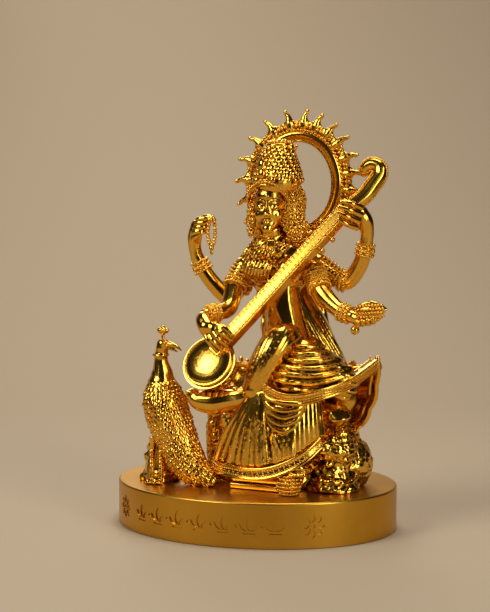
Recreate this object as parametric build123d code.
"""A four-armed seated goddess statuette with her long-necked lute and her peacock, on an oval plinth.

Frame: +Z up, the figure faces -Y, and the origin is the centre of the felt pad's underside. Millimetres.
Heights written as `up` are above the plinth's deck, so that the whole group stays on the deck.
"""

import os
from math import cos, pi, radians, sin, sqrt

from build123d import *

# ---------------------------------------------------------------- plinth
PLINTH_LENGTH = 130.0
PLINTH_WIDTH = 103.0
PLINTH_HEIGHT = 20.0
PLINTH_WALL = 4.5
DECK_THICKNESS = 4.0
RIM_ROUND = 0.8
FELT_THICKNESS = 1.0
FELT_INSET = 1.5
FELT_PROUD = 0.3
COVER_THICKNESS = 2.0
COVER_LIP = 2.2
COVER_CLEARANCE = 0.2
ENGRAVING_DEPTH = 0.5

BOSS_RADIUS = 4.0
BOSS_X = 40.0
BOSS_Y = 25.0
COVER_SCREW_RADIUS = 1.4
COVER_SCREW_LENGTH = 10.0
SCREW_HEAD_RADIUS = 2.8
SCREW_CLEARANCE = 0.2
THREAD_CLEARANCE = 0.05
DECK_SCREW_RADIUS = 1.5
DECK_SCREW_BITE = 7.0
DECK_SCREW_HEAD_HEIGHT = 2.0
WASHER_RADIUS = 4.0
WASHER_THICKNESS = 0.6

# ---------------------------------------------------------------- figure
DECK = PLINTH_HEIGHT
HEAD_RADII = (7.6, 9.0, 11.5)
CROWN_RADIUS = 11.4
CROWN_HEIGHT = 24.0
UPPER_ARM_RADIUS = 4.4
ELBOW_RADIUS = 3.9
WRIST_RADIUS = 2.9
BANGLE_THICKNESS = 1.5
BANGLE_WIDTH = 2.6
SHOULDER_PIN_RADIUS = 1.5
SHOULDER_PIN_LENGTH = 10.0
PIN_CLEARANCE = 0.05

# ---------------------------------------------------------------- halo
HALO_OPENING = (15.7, 19.0)
HALO_BAND = 8.8
HALO_THICKNESS = 3.0
HALO_RAY_ANGLES = [-120, -104, -86, -68, -49, -30, -10, 6, 20, 35, 49, 65, 80, 96, 112]
RAY_LENGTH = 6.2
RAY_RADIUS = 1.9
HALO_STEM_WIDTH = 7.0
HALO_STEM_PIN_RADIUS = 1.2

# ---------------------------------------------------------------- lute
BOWL_RADIUS = 12.0
SOUNDBOARD_THICKNESS = 1.6
NECK_WIDTH = 5.6
NECK_DEPTH = 4.6
NECK_LENGTH = 80.0
STUD_COUNT = 26
STUD_RADIUS = 0.45
STUD_HEIGHT = 0.35
PEG_RADIUS = 0.9
PEG_LENGTH = 4.5
SCROLL_RADIUS = 2.2
SCROLL_DROP = 2.4
SCROLL_RUN = 30.0

# ---------------------------------------------------------------- prayer beads
BEAD_RADIUS = 0.75
BEAD_CORD_RADIUS = 0.4
BEAD_LOOP_WIDTH = 5.0
BEAD_LOOP_LENGTH = 13.0
BEAD_COUNT = 20
FINGER_RADIUS = 1.15
FINGER_CLEARANCE = 0.3

# ---------------------------------------------------------------- places, each (x, y, up)
HEAD_PLACE = (8.0, -4.0, 125.0)
CROWN_PLACE = (9.0, -2.5, 131.0)
HALO_PLACE = (14.1, 18.0, 135.2)
BOWL_PLACE = (-12.2, -27.0, 56.5)
NECK_DIRECTION = (0.60, 0.32, 0.75)
BOARD_NORMAL = (-0.10, -0.87, 0.48)
BEAD_FINGER = (-20.8, -2.5, 118.8)
LOTUS_PLACE = (25.2, -28.0, 0.0)
BOLSTER_END = (43.0, -12.0, 33.0)
THRONE_PLACE = (14.2, 11.0, 52.0)
THRONE_RADII = (43.3, 11.0, 43.0)

RIGHT_LOWER_ARM = [(-5.0, -1.0, 95.0), (-8.0, -12.0, 80.5), (-15.0, -24.0, 76.5)]
RIGHT_UPPER_ARM = [(-4.5, 6.5, 95.0), (-16.0, 7.0, 82.5), (-30.3, 4.0, 101.0)]
LEFT_UPPER_ARM = [(26.5, 7.0, 97.5), (40.0, 9.5, 91.0), (49.5, 7.0, 107.0)]
LEFT_LOWER_ARM = [(27.0, -1.0, 95.5), (35.0, -6.0, 84.5), (48.5, -11.3, 77.5)]

model = {}


# ---------------------------------------------------------------- shape helpers
def at(place):
    """The point on the deck's frame for a place given as (x, y, up)."""
    x, y, up = place
    return Vector(x, y, DECK + up)


def between(start, end, share=0.5):
    """The place that far along the straight line from start to end."""
    return tuple(a + (b - a) * share for a, b in zip(start, end))


def ellipsoid(place, radii, turn=(0, 0, 0)):
    """An ellipsoid with the given half-sizes, turned about its own centre."""
    return Pos(*at(place)) * Rot(*turn) * scale(Sphere(1), by=radii)


def rod(start, end, radius, end_radius=None):
    """A straight round rod between two points, tapered when end_radius is given."""
    start, end = Vector(*start), Vector(*end)
    length = (end - start).length
    middle = Plane(origin=(start + end) / 2, z_dir=end - start)
    if end_radius is None or abs(end_radius - radius) < 1e-6:
        return middle * Cylinder(radius, length)
    return middle * Cone(radius, end_radius, length)


def limb(places, limb_radii, joint_swell=1.04):
    """A round tapered limb through the places, with a slightly fuller ball at each of them."""
    spots = [at(place) for place in places]
    shape = Pos(*spots[0]) * Sphere(limb_radii[0] * joint_swell)
    for spot, radius in zip(spots[1:], limb_radii[1:]):
        shape += Pos(*spot) * Sphere(radius * joint_swell)
    for i in range(len(spots) - 1):
        shape += rod(spots[i], spots[i + 1], limb_radii[i], limb_radii[i + 1])
    return shape


def oval_loft(sections):
    """A smooth body through level ovals, each (x, y, up, half_length, half_width)."""
    faces = [Pos(*at((x, y, up))) * Ellipse(a, b) for x, y, up, a, b in sections]
    return loft(faces)


def oval_block(inset, low, high):
    """An upright oval block as large as the plinth less the inset all round, from low to high."""
    return Pos(0, 0, low) * extrude(
        Ellipse(PLINTH_LENGTH / 2 - inset, PLINTH_WIDTH / 2 - inset), amount=high - low
    )


def above_deck(shape):
    """The part of the shape that stands above the deck."""
    size = 4 * PLINTH_LENGTH
    return shape & Pos(0, 0, DECK + size / 2) * Box(size, size, size)


def keep_largest(shape):
    """The largest solid of a shape that a cut may have split."""
    return max(shape.solids(), key=lambda solid: solid.volume)


def add(node, shape, clear_of=()):
    """Adds one cast piece to the model, with the room of its named neighbours taken out of it."""
    for other in clear_of:
        shape = shape - model[other]
    model[node] = keep_largest(shape)


def add_group(node, shapes, clear_of=()):
    """Adds a node that holds several like solids, each clear of the named neighbours."""
    kept = []
    for shape in shapes:
        for other in clear_of:
            shape = shape - model[other]
        kept.append(keep_largest(shape))
    model[node] = Compound(children=kept)


def drill(node, *cutters):
    """Takes holes or slots out of a piece that is already in the model."""
    shape = model[node]
    for cutter in cutters:
        shape = shape - cutter
    model[node] = keep_largest(shape)


def touches(shape, *nodes):
    """Whether the shape reaches into any of the named pieces."""
    return any(shape.volume - (shape - model[node]).volume > 1e-6 for node in nodes)


# ---------------------------------------------------------------- plinth and its fixings
def petal(length, width):
    """A pointed petal that starts at the origin and points along +Y."""
    half = length / 2
    bulge = ThreePointArc((0, 0), (width / 2, half), (0, length))
    back = ThreePointArc((0, length), (-width / 2, half), (0, 0))
    return make_face(bulge + back)


def rosette(radius, petals=8):
    """A flat flower: a ring of petals round a button."""
    flower = Circle(radius * 0.2)
    for i in range(petals):
        flower += Rot(0, 0, 360 / petals * i) * Pos(0, radius * 0.28) * petal(radius * 0.72, radius * 0.42)
    return flower


def lotus_bud(size):
    """A flat bud of three petals on a short stalk bar."""
    bud = petal(size, size * 0.42)
    for side in (-1, 1):
        bud += Pos(side * size * 0.12, 0) * Rot(0, 0, -side * 48) * petal(size * 0.8, size * 0.34)
    return bud + Pos(0, -size * 0.16) * Rectangle(size * 0.9, size * 0.12)


def wall_plane(angle, up):
    """The plane that touches the plinth's wall at an angle from the front, facing out."""
    a, b = PLINTH_LENGTH / 2, PLINTH_WIDTH / 2
    t = radians(angle - 90)
    normal = Vector(cos(t) / a, sin(t) / b, 0)
    return Plane(origin=(a * cos(t), b * sin(t), up), x_dir=(-a * sin(t), b * cos(t), 0), z_dir=normal)


def engraving():
    """The cutters of the engraved frieze: two rosettes with a row of lotus buds between them."""
    middle = PLINTH_HEIGHT * 0.5
    rosette_radius = PLINTH_HEIGHT * 0.27
    bud_size = PLINTH_HEIGHT * 0.30
    motifs = [(angle, rosette(rosette_radius), 0) for angle in (-52, 38)]
    motifs += [(-37 + 10 * i, lotus_bud(bud_size), -bud_size * 0.36) for i in range(7)]
    motifs += [(-32 + 10 * i, Circle(bud_size * 0.11), 0) for i in range(6)]
    core = oval_block(ENGRAVING_DEPTH, 0, PLINTH_HEIGHT)
    reach = PLINTH_WALL
    cutters = []
    for angle, outline, drop in motifs:
        plane = wall_plane(angle, middle)
        prism = extrude(plane * Pos(0, drop) * outline, amount=reach / 2, both=True)
        cutters.append(prism - core)
    return cutters


def boss_places():
    """The four places of the cover screws."""
    return [(x, y) for x in (-BOSS_X, BOSS_X) for y in (-BOSS_Y, BOSS_Y)]


FIGURE_SCREW_PLACES = [(2.0, 6.0), (22.0, 12.0), (42.0, -10.0)]
PEACOCK_SCREW_PLACES = [(-39.5, -16.0), (-17.0, -24.0)]


def countersunk_screw(x, y, low, length, radius):
    """A countersunk screw with its head's face at low, pointing up."""
    head_height = SCREW_HEAD_RADIUS - radius
    head = Cone(SCREW_HEAD_RADIUS, radius, head_height, align=(Align.CENTER, Align.CENTER, Align.MIN))
    shank = Cylinder(radius, length, align=(Align.CENTER, Align.CENTER, Align.MIN))
    return Pos(x, y, low) * (head + shank)


def make_plinth():
    """The cast plinth, its cover plate, felt pad, screws and washers."""
    ledge = FELT_THICKNESS + COVER_THICKNESS
    deck_underside = DECK - DECK_THICKNESS
    body = oval_block(0, FELT_PROUD, PLINTH_HEIGHT)
    body = fillet(body.edges().group_by(Axis.Z)[-1], RIM_ROUND)
    body = body - oval_block(COVER_LIP, 0, ledge) - oval_block(PLINTH_WALL, ledge, deck_underside)
    for x, y in boss_places():
        body += Pos(x, y, (ledge + deck_underside) / 2) * Cylinder(BOSS_RADIUS, deck_underside - ledge)
    model["plinth"] = keep_largest(body - engraving())

    cover_inset = COVER_LIP + COVER_CLEARANCE
    cover = oval_block(cover_inset, FELT_THICKNESS, ledge)
    sink = SCREW_HEAD_RADIUS - COVER_SCREW_RADIUS + SCREW_CLEARANCE
    for x, y in boss_places():
        hole = COVER_SCREW_RADIUS + SCREW_CLEARANCE
        cover = cover - Pos(x, y, FELT_THICKNESS + COVER_THICKNESS / 2) * Cylinder(hole, COVER_THICKNESS)
        head_room = Cone(
            SCREW_HEAD_RADIUS + SCREW_CLEARANCE, hole, sink - SCREW_CLEARANCE,
            align=(Align.CENTER, Align.CENTER, Align.MIN),
        )
        cover = cover - Pos(x, y, FELT_THICKNESS) * head_room
        thread = Cylinder(COVER_SCREW_RADIUS + THREAD_CLEARANCE, COVER_SCREW_LENGTH + THREAD_CLEARANCE,
                          align=(Align.CENTER, Align.CENTER, Align.MIN))
        drill("plinth", Pos(x, y, FELT_THICKNESS) * thread)
    model["plinth_cover"] = keep_largest(cover)
    add_group("cover_screws", [
        countersunk_screw(x, y, FELT_THICKNESS, COVER_SCREW_LENGTH, COVER_SCREW_RADIUS)
        for x, y in boss_places()
    ])
    model["felt_pad"] = keep_largest(oval_block(cover_inset + FELT_INSET, 0, FELT_THICKNESS))

    for x, y in FIGURE_SCREW_PLACES + PEACOCK_SCREW_PLACES:
        drill("plinth", Pos(x, y, DECK) * Cylinder(DECK_SCREW_RADIUS + SCREW_CLEARANCE, 4 * DECK_THICKNESS))


def deck_screw(x, y):
    """A screw that goes up through the deck into the piece that stands on it."""
    underside = DECK - DECK_THICKNESS - WASHER_THICKNESS
    length = DECK_THICKNESS + WASHER_THICKNESS + DECK_SCREW_BITE
    shank = Cylinder(DECK_SCREW_RADIUS, length, align=(Align.CENTER, Align.CENTER, Align.MIN))
    head = Cylinder(DECK_SCREW_RADIUS * 1.9, DECK_SCREW_HEAD_HEIGHT, align=(Align.CENTER, Align.CENTER, Align.MAX))
    return Pos(x, y, underside) * (shank + head)


def deck_screw_hole(x, y):
    """The blind threaded hole that a deck screw bites into."""
    depth = DECK_SCREW_BITE + 2 * SCREW_CLEARANCE
    hole = Cylinder(DECK_SCREW_RADIUS + THREAD_CLEARANCE, depth, align=(Align.CENTER, Align.CENTER, Align.MIN))
    return Pos(x, y, DECK) * hole


def deck_washer(x, y):
    """The washer between a deck screw's head and the deck."""
    washer = Cylinder(WASHER_RADIUS, WASHER_THICKNESS) - Cylinder(DECK_SCREW_RADIUS + SCREW_CLEARANCE, 2)
    return Pos(x, y, DECK - DECK_THICKNESS - WASHER_THICKNESS / 2) * washer


def make_deck_fixings():
    """The screws and washers that hold the figure and the bird, and their holes."""
    add_group("figure_screws", [deck_screw(x, y) for x, y in FIGURE_SCREW_PLACES])
    add_group("peacock_screws", [deck_screw(x, y) for x, y in PEACOCK_SCREW_PLACES])
    add_group("screw_washers", [deck_washer(x, y) for x, y in FIGURE_SCREW_PLACES + PEACOCK_SCREW_PLACES])
    drill("rock_seat", *[deck_screw_hole(x, y) for x, y in FIGURE_SCREW_PLACES])
    stump, train = PEACOCK_SCREW_PLACES
    drill("peacock_rock", deck_screw_hole(*stump))
    drill("peacock_train", deck_screw_hole(*train))


# ---------------------------------------------------------------- seat
def make_seat():
    """The rock, the step under the hem, the lotus footrest, the lobed throne and the bolster."""
    mound = oval_loft([(16.0, 2.0, 0.0, 35.0, 22.0), (15.0, 4.0, 14.0, 31.0, 19.0), (14.0, 6.0, 26.0, 26.0, 15.0)])
    column = oval_loft([(42.0, -11.0, 0.0, 10.0, 14.0), (42.0, -10.0, 12.0, 8.5, 12.5), (42.0, -9.0, 22.0, 9.5, 12.5)])
    add("rock_seat", mound + column)

    step = Pos(*at((10.0, -17.0, 1.6))) * Box(25.0, 12.0, 3.2)
    upper_step = Pos(*at((10.0, -16.0, 4.6))) * Box(23.0, 10.0, 2.8)
    add("foot_step", step + upper_step, ["rock_seat"])

    x, y, up = LOTUS_PLACE
    lotus = above_deck(ellipsoid((x, y, 3.9), (4.8, 4.8, 4.6)))
    add("lotus_footrest", lotus, ["rock_seat", "foot_step"])

    x, y, up = THRONE_PLACE
    bowl = ellipsoid(THRONE_PLACE, THRONE_RADII) + ellipsoid((x, y + 2, up), (36.0, 13.0, 36.0))
    lid = Pos(x, y, DECK + up + 50) * Box(4 * PLINTH_LENGTH, PLINTH_WIDTH, 100)
    add("lotus_throne", bowl - lid, ["rock_seat"])

    inner = (BOLSTER_END[0] - 20.0, BOLSTER_END[1] + 14.0, BOLSTER_END[2] + 1.0)
    add("bolster", rod(at(BOLSTER_END), at(inner), 6.0), ["lotus_throne", "rock_seat"])


# ---------------------------------------------------------------- body
def make_body():
    """The torso, the draped legs, the feet, the neck, the head with its hair, and the crown."""
    add("torso", oval_loft([
        (17.0, 4.0, 42.0, 15.0, 13.0), (17.0, 3.5, 57.0, 16.0, 12.5), (15.0, 1.5, 71.0, 10.8, 8.6),
        (11.5, 0.5, 85.0, 14.0, 10.0), (10.5, 1.0, 95.0, 17.5, 8.6), (9.8, 0.5, 104.0, 11.0, 7.2),
        (8.6, -1.0, 110.0, 6.4, 5.4), (8.2, -2.0, 115.0, 4.6, 4.6),
    ]), ["rock_seat", "lotus_throne", "bolster"])
    add("skirt", oval_loft([
        (13.5, -9.5, 8.0, 23.0, 17.0), (15.5, -9.5, 24.0, 18.5, 14.5), (20.0, -8.0, 42.0, 17.0, 13.0),
    ]), ["torso", "rock_seat", "lotus_throne", "bolster", "foot_step", "lotus_footrest"])
    add("left_thigh", ellipsoid((29.0, -8.0, 51.0), (18.0, 16.5, 13.0), (0, 12, 0)),
        ["torso", "skirt", "lotus_throne", "bolster"])
    add("right_leg", limb([(11.0, -4.0, 57.0), (16.0, -19.0, 64.0), (3.0, -24.0, 43.0)], [9.0, 8.0, 5.0]),
        ["torso", "skirt", "left_thigh", "lotus_throne"])
    foot = ellipsoid((-13.0, -25.5, 40.0), (12.0, 5.0, 6.2), (0, 6, 0))
    add("right_foot", foot + limb([(3.0, -24.0, 42.0), (-9.0, -25.0, 41.0)], [4.4, 4.6]),
        ["right_leg", "skirt", "torso", "lotus_throne"])
    add("left_foot", ellipsoid((29.5, -24.5, 10.5), (4.6, 7.0, 3.4), (-14, 0, 0)),
        ["skirt", "rock_seat", "lotus_footrest", "foot_step"])

    add("head", ellipsoid(HEAD_PLACE, HEAD_RADII, (-6, 0, 0)), ["torso"])
    x, y, up = CROWN_PLACE
    crown = oval_loft([
        (x, y, up, CROWN_RADIUS, CROWN_RADIUS),
        (x + 0.6, y + 1.0, up + CROWN_HEIGHT * 0.45, CROWN_RADIUS * 0.86, CROWN_RADIUS * 0.86),
        (x + 1.2, y + 2.5, up + CROWN_HEIGHT * 0.8, CROWN_RADIUS * 0.56, CROWN_RADIUS * 0.56),
        (x + 1.6, y + 3.0, up + CROWN_HEIGHT, CROWN_RADIUS * 0.34, CROWN_RADIUS * 0.34),
    ])
    add("crown", crown, ["head"])
    add("crown_finial", ellipsoid((x + 1.6, y + 3.0, up + CROWN_HEIGHT + 0.6), (2.6, 2.6, 2.4)), ["crown"])
    x, y, up = HEAD_PLACE
    hair = ellipsoid((x + 0.5, y + 6.0, up - 2.0), (11.0, 7.5, 13.0))
    hair += ellipsoid((x + 13.5, y + 4.5, up - 12.0), (6.0, 4.5, 6.5))
    hair += ellipsoid((x - 11.0, y + 4.5, up - 12.0), (4.5, 4.0, 6.0))
    add("hair", hair, ["head", "torso", "crown"])
    add("veil", limb([(30.0, 9.0, 88.0), (37.0, 10.0, 66.0), (47.0, 10.0, 46.0)], [3.5, 5.5, 6.5]),
        ["torso", "left_thigh", "lotus_throne"])


# ---------------------------------------------------------------- halo
def halo_point(angle, grow):
    """The point on the halo's oval at an angle from the top, grown outwards from the opening's edge."""
    t = radians(angle)
    x, y, z = at(HALO_PLACE)
    half_width, half_height = HALO_OPENING
    return Vector(x + (half_width + grow) * sin(t), y, z + (half_height + grow) * cos(t))


def halo_plate(grow, thickness):
    """An oval plate across the halo's opening, grown by that much."""
    half_width, half_height = HALO_OPENING
    face = Plane(origin=at(HALO_PLACE), x_dir=(1, 0, 0), z_dir=(0, -1, 0)) * Ellipse(
        half_width + grow, half_height + grow
    )
    return extrude(face, amount=thickness / 2, both=True)


def make_halo():
    """The halo ring, its rays, the stem that carries it and the stem's pins."""
    ring = halo_plate(HALO_BAND, HALO_THICKNESS) - halo_plate(0, 4 * HALO_THICKNESS)
    add("halo_ring", ring, ["hair", "crown"])
    rays = []
    for angle in HALO_RAY_ANGLES:
        foot = halo_point(angle, HALO_BAND - 1.0)
        tip = halo_point(angle, HALO_BAND + RAY_LENGTH)
        rays.append(rod(foot, tip, RAY_RADIUS * 0.75, 0.25))
    add_group("halo_rays", rays, ["halo_ring"])

    x, y, up = HALO_PLACE
    half_height = HALO_OPENING[1]
    ring_foot = DECK + up - half_height - HALO_BAND
    stem_low = DECK + 84.0
    stem_front = 6.0
    stem_back = y - HALO_THICKNESS / 2
    plate = Pos(x, (stem_back + y + 4) / 2, (stem_low + ring_foot + 6) / 2) * Box(
        HALO_STEM_WIDTH, y + 4 - stem_back, ring_foot + 6 - stem_low)
    foot = Pos(x, (stem_front + stem_back) / 2, stem_low + 6) * Box(
        HALO_STEM_WIDTH, stem_back - stem_front, 12.0)
    add("halo_stem", plate + foot, ["halo_ring", "torso", "hair"])
    pins = [rod((x, stem_front - 5, stem_low + dz), (x, y + 4, stem_low + dz), HALO_STEM_PIN_RADIUS)
            for dz in (3.0, 9.0)]
    holes = [rod((x, stem_front - 5 - SCREW_CLEARANCE, stem_low + dz), (x, y + 5, stem_low + dz),
                 HALO_STEM_PIN_RADIUS + PIN_CLEARANCE) for dz in (3.0, 9.0)]
    drill("halo_stem", *holes)
    drill("torso", *holes)
    add_group("halo_pins", pins)


# ---------------------------------------------------------------- arms
def band(limb_radius):
    """A solid round band that is to be seated over a limb of that radius."""
    blank = Cylinder(limb_radius + BANGLE_THICKNESS, BANGLE_WIDTH)
    return fillet(blank.edges(), BANGLE_THICKNESS * 0.3)


def make_arm(side, places, neighbours):
    """One arm down to the wrist, its bangle, its armlet and the dowel that holds its shoulder."""
    add(side + "_arm", limb(places, [UPPER_ARM_RADIUS, ELBOW_RADIUS, WRIST_RADIUS]), neighbours)
    elbow, wrist = at(places[1]), at(places[2])
    shoulder = at(places[0])
    along = (wrist - elbow).normalized()
    bangle = Plane(origin=wrist - along * 1.7, z_dir=along) * band(WRIST_RADIUS)
    upper = (elbow - shoulder).normalized()
    middle = shoulder + (elbow - shoulder) * 0.55
    armlet = Plane(origin=middle, z_dir=upper) * band(UPPER_ARM_RADIUS)
    return bangle, armlet


def make_arms():
    """The four arms, with their bangles, armlets and shoulder dowels."""
    arms = {
        "right_lower": (RIGHT_LOWER_ARM, ["torso"]),
        "right_upper": (RIGHT_UPPER_ARM, ["torso", "right_lower_arm"]),
        "left_lower": (LEFT_LOWER_ARM, ["torso", "veil"]),
        "left_upper": (LEFT_UPPER_ARM, ["torso", "left_lower_arm", "veil"]),
    }
    bangles, armlets, dowels, holes = [], [], [], []
    for side, (places, neighbours) in arms.items():
        bangle, armlet = make_arm(side, places, neighbours)
        bangles.append(bangle)
        armlets.append(armlet)
        shoulder = at(places[0])
        heart = at((11.0, places[0][1], places[0][2]))
        inward = (heart - shoulder).normalized()
        start = shoulder - inward * 1.0
        dowels.append(rod(start, start + inward * SHOULDER_PIN_LENGTH, SHOULDER_PIN_RADIUS))
        holes.append(rod(start - inward * SCREW_CLEARANCE, start + inward * (SHOULDER_PIN_LENGTH + SCREW_CLEARANCE),
                         SHOULDER_PIN_RADIUS + PIN_CLEARANCE))
        drill(side + "_arm", holes[-1])
    drill("torso", *holes)
    arm_nodes = [side + "_arm" for side in arms]
    add_group("shoulder_dowels", dowels)
    add_group("bangles", bangles, arm_nodes)
    add_group("armlets", armlets, arm_nodes + ["torso", "veil"])


def make_hands():
    """The four hands, the book and the swinging loop of prayer beads."""
    finger_x, finger_y, finger_up = BEAD_FINGER
    palm = ellipsoid((-29.6, 2.4, 109.0), (3.4, 2.6, 7.5), (0, 10, 0))
    curl = limb([(-28.0, 1.0, 115.5), (-24.6, 1.0, 119.4), (finger_x, finger_y + 3.6, finger_up)],
                [2.2, 1.7, FINGER_RADIUS])
    pointer = rod(at((finger_x, finger_y + 3.6, finger_up)), at((finger_x, finger_y - 2.0, finger_up)), FINGER_RADIUS)
    tip = Pos(*at((finger_x, finger_y - 2.0, finger_up))) * Sphere(FINGER_RADIUS * 1.25)
    add("right_upper_hand", palm + curl + pointer + tip, ["right_upper_arm", "bangles"])

    add("right_lower_hand",
        ellipsoid((-12.2, -30.0, 70.5), (5.4, 2.6, 4.4), (0, 50, 0))
        + limb([(-9.5, -32.5, 67.0), (-6.0, -35.5, 61.5)], [2.6, 1.6]),
        ["right_lower_arm", "bangles"])
    add("left_upper_hand",
        ellipsoid((48.6, 7.4, 115.0), (3.4, 2.8, 7.0), (0, -14, 0))
        + limb([(46.5, 6.0, 120.5), (43.0, -3.5, 124.0)], [2.4, 1.8]),
        ["left_upper_arm", "bangles"])
    add("palm_leaf_book", Pos(*at((57.4, -14.0, 79.5))) * Rot(0, -14, -6) * Box(13.0, 4.4, 5.0),
        ["left_lower_arm", "bangles"])
    add("left_lower_hand", ellipsoid((54.5, -12.8, 76.2), (5.4, 3.6, 3.2), (0, -6, 0)),
        ["left_lower_arm", "bangles", "palm_leaf_book"])


def bead_loop_path():
    """The closed line that the beads follow: two hanging sides, a round top over the finger and a round foot."""
    x, y, z = at(BEAD_FINGER)
    half = BEAD_LOOP_WIDTH / 2
    top = z + FINGER_RADIUS + FINGER_CLEARANCE + BEAD_RADIUS - half
    low = top - (BEAD_LOOP_LENGTH - BEAD_LOOP_WIDTH)
    left, right = (x - half, y, top), (x + half, y, top)
    low_left, low_right = (x - half, y, low), (x + half, y, low)
    return Wire([
        ThreePointArc(left, (x, y, top + half), right),
        Line(right, low_right),
        ThreePointArc(low_right, (x, y, low - half), low_left),
        Line(low_left, left),
    ])


def make_prayer_beads():
    """The loop of beads that hangs over the finger, cast in one piece with its drop."""
    path = bead_loop_path()
    start = path @ 0
    profile = Plane(origin=start, z_dir=path % 0) * Circle(BEAD_CORD_RADIUS)
    loop = sweep(profile, path=path)
    for i in range(BEAD_COUNT):
        loop += Pos(*(path @ (i / BEAD_COUNT))) * Sphere(BEAD_RADIUS)
    x, y, z = at(BEAD_FINGER)
    low = min(vertex.Z for vertex in path.vertices()) - BEAD_LOOP_WIDTH / 2
    loop += Pos(x, y, low - BEAD_RADIUS * 1.2) * Sphere(BEAD_RADIUS * 1.4)
    model["prayer_beads"] = keep_largest(loop)


# ---------------------------------------------------------------- lute
def board_plane():
    """The soundboard's plane: x along the neck, z out of the board."""
    return Plane(origin=at(BOWL_PLACE), x_dir=NECK_DIRECTION, z_dir=BOARD_NORMAL)


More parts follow.
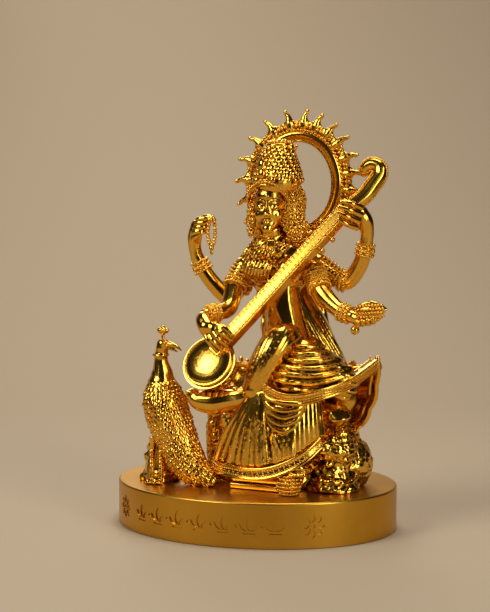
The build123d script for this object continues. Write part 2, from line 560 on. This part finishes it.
def make_lute():
    """The lute: bowl, soundboard, neck, studs along its board, pegs and scroll."""
    plane = board_plane()
    neighbours = ["right_leg", "right_foot", "skirt", "left_thigh", "torso", "right_lower_arm", "right_lower_hand"]
    half_ball = Sphere(BOWL_RADIUS) & Pos(0, 0, -BOWL_RADIUS) * Box(
        3 * BOWL_RADIUS, 3 * BOWL_RADIUS, 2 * BOWL_RADIUS)
    add("lute_bowl", plane * half_ball, neighbours)
    board = Cylinder(BOWL_RADIUS, SOUNDBOARD_THICKNESS, align=(Align.CENTER, Align.CENTER, Align.MIN))
    add("soundboard", plane * board, [
        "right_lower_hand", "right_lower_arm", "right_leg", "right_foot", "bangles"])
    neck_start = BOWL_RADIUS * 0.35
    neck_end = neck_start + NECK_LENGTH
    neck_top = SOUNDBOARD_THICKNESS + NECK_DEPTH * 0.5
    neck = Pos(neck_start + NECK_LENGTH / 2, 0, neck_top - NECK_DEPTH / 2) * Box(NECK_LENGTH, NECK_WIDTH, NECK_DEPTH)
    add("lute_neck", plane * neck, [
        "soundboard", "lute_bowl", "torso", "hair", "right_lower_hand", "left_upper_hand", "left_upper_arm",
        "left_lower_arm", "armlets", "bangles", "halo_ring", "right_leg", "left_thigh",
    ])
    stud_gap = (neck_end - BOWL_RADIUS - 2 * STUD_RADIUS) / STUD_COUNT
    studs = [
        plane * Pos(BOWL_RADIUS + (i + 0.5) * stud_gap, side * (NECK_WIDTH / 2 - 1.6 * STUD_RADIUS), neck_top)
        * Cylinder(STUD_RADIUS, STUD_HEIGHT, align=(Align.CENTER, Align.CENTER, Align.MIN))
        for i in range(STUD_COUNT) for side in (-1, 1)
    ]
    free = [stud for stud in studs if not touches(stud, "right_lower_hand", "left_upper_hand", "bangles")]
    add_group("fret_studs", free)

    head_start = plane.from_local_coords(Vector(neck_end, 0, neck_top - NECK_DEPTH / 2 - SCROLL_DROP))
    run = Vector(*NECK_DIRECTION).normalized()
    bend = head_start + run * SCROLL_RUN
    scroll_path = FilletPolyline(
        head_start - run, bend, bend + Vector(-6.3, 0, 4.6), bend + Vector(-10.6, 0, -0.3), radius=3.3)
    scroll = sweep(Plane(origin=head_start - run, z_dir=run) * Circle(SCROLL_RADIUS), path=scroll_path)
    scroll += Pos(*(scroll_path @ 1)) * Sphere(SCROLL_RADIUS * 1.2)
    add("scroll_head", scroll, ["lute_neck", "left_upper_hand", "halo_ring", "halo_rays"])
    pegs = []
    for i in range(4):
        side = 1 if i % 2 else -1
        x = neck_end - 4.0 - i * 3.4
        z = neck_top - NECK_DEPTH / 2
        start = plane.from_local_coords(Vector(x, side * NECK_WIDTH / 2, z))
        end = plane.from_local_coords(Vector(x, side * (NECK_WIDTH / 2 + PEG_LENGTH), z))
        pegs.append(rod(start, end, PEG_RADIUS))
    add_group("pegs", pegs, ["left_upper_hand", "halo_ring", "halo_rays", "lute_neck", "hair", "scroll_head"])


# ---------------------------------------------------------------- peacock
def make_peacock():
    """The bird: stump, legs, body, train, neck with head, beak and crest."""
    add("peacock_rock", oval_loft([(-39.0, -18.0, 0.0, 9.0, 7.0), (-39.0, -17.5, 9.0, 6.0, 5.0),
                                   (-39.5, -17.0, 20.0, 4.5, 4.0)]))
    body = ellipsoid((-36.3, -20.0, 34.0), (11.4, 10.0, 17.0), (0, -8, 0))
    add("peacock_body", body, ["peacock_rock", "right_foot", "lute_bowl", "soundboard", "lotus_throne"])
    train = above_deck(limb([(-33.0, -20.5, 27.0), (-26.3, -21.5, 13.0), (-18.0, -23.5, 5.5)], [9.6, 9.0, 7.0]))
    add("peacock_train", train, ["peacock_body", "peacock_rock", "foot_step", "skirt", "rock_seat"])
    legs = [above_deck(rod(at((x, -25.0, -1.0)), at((x, -23.5, 20.0)), 1.3)) for x in (-43.0, -37.5)]
    add_group("peacock_legs", legs, ["peacock_body", "peacock_rock", "peacock_train"])
    add("peacock_neck", limb([(-40.0, -20.5, 46.0), (-39.6, -21.0, 56.0), (-38.3, -21.0, 62.2)], [5.6, 2.7, 2.9]),
        ["peacock_body"])
    add("peacock_beak", rod(at((-36.5, -21.3, 62.6)), at((-27.8, -22.6, 60.6)), 1.7, 0.6), ["peacock_neck"])
    crest = rod(at((-38.0, -21.0, 64.0)), at((-37.8, -21.0, 67.5)), 0.8)
    crest += Pos(*at((-37.7, -21.0, 68.4))) * Sphere(1.9)
    add("peacock_crest", crest, ["peacock_neck"])


# ---------------------------------------------------------------- build
def main():
    """Builds every piece in the order in which they seat on each other, and writes the files."""
    make_plinth()
    make_seat()
    make_body()
    make_halo()
    make_arms()
    make_hands()
    make_prayer_beads()
    make_lute()
    make_peacock()
    make_deck_fixings()
    os.makedirs("parts", exist_ok=True)
    for node, shape in model.items():
        export_step(shape, f"parts/{node}.step")


main()
